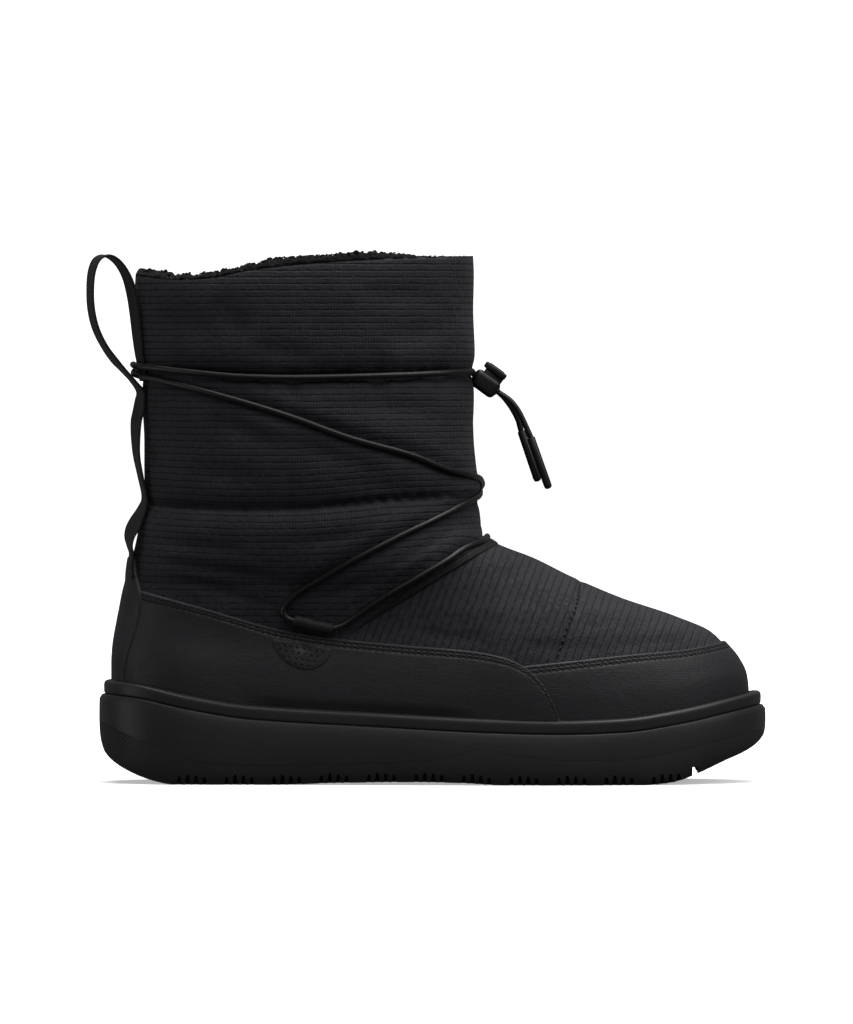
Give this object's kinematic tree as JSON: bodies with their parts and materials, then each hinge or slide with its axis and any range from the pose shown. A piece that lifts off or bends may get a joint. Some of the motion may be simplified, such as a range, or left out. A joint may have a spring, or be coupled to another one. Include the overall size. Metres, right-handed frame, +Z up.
{
  "type": "winter boot",
  "caption": "Quilted ankle-high winter boot with a moulded cup sole, side and toe guards, a back pull loop and a crossing drawcord with a cord lock.",
  "frame": {"origin": "on the floor, under the middle of the boot's box", "axes": "+X to the toe, -Y to the outer side of the foot, +Z up out of the collar"},
  "size_m": [0.2861, 0.1089, 0.2215],
  "materials": {
    "rubber": "satin black moulded rubber",
    "foam": "satin black moulded foam",
    "footbed": "black fleece",
    "quilted_cloth": "charcoal ribbed ripstop",
    "guard_leather": "matt black coated leather",
    "webbing": "black woven tape",
    "cord": "black braided cord",
    "lock_plastic": "black moulded plastic"
  },
  "bodies": {
    "boot": {"outsole": "rubber", "midsole": "foam", "insole": "footbed", "upper": "quilted_cloth", "side_guard_outer": "guard_leather", "side_guard_inner": "guard_leather", "toe_guard": "guard_leather", "heel_stay": "guard_leather", "instep_hem": "quilted_cloth", "pull_tape": "webbing", "lace": "cord", "lace_keeper_outer": "webbing", "lace_keeper_inner": "webbing", "toggle_body": "lock_plastic", "lace_end_outer": "cord", "lace_end_inner": "cord", "lace_tip_outer": "lock_plastic", "lace_tip_inner": "lock_plastic"},
    "button": {"toggle_button": "lock_plastic"}
  },
  "joints": [
    {"name": "toggle_press", "type": "slide", "parent": "boot", "child": "button", "axis": [-0.5878, 0, -0.809], "range_m": [0, 0.0013], "stiffness_N_per_m": 800, "springref_m": -0.003}
  ]
}
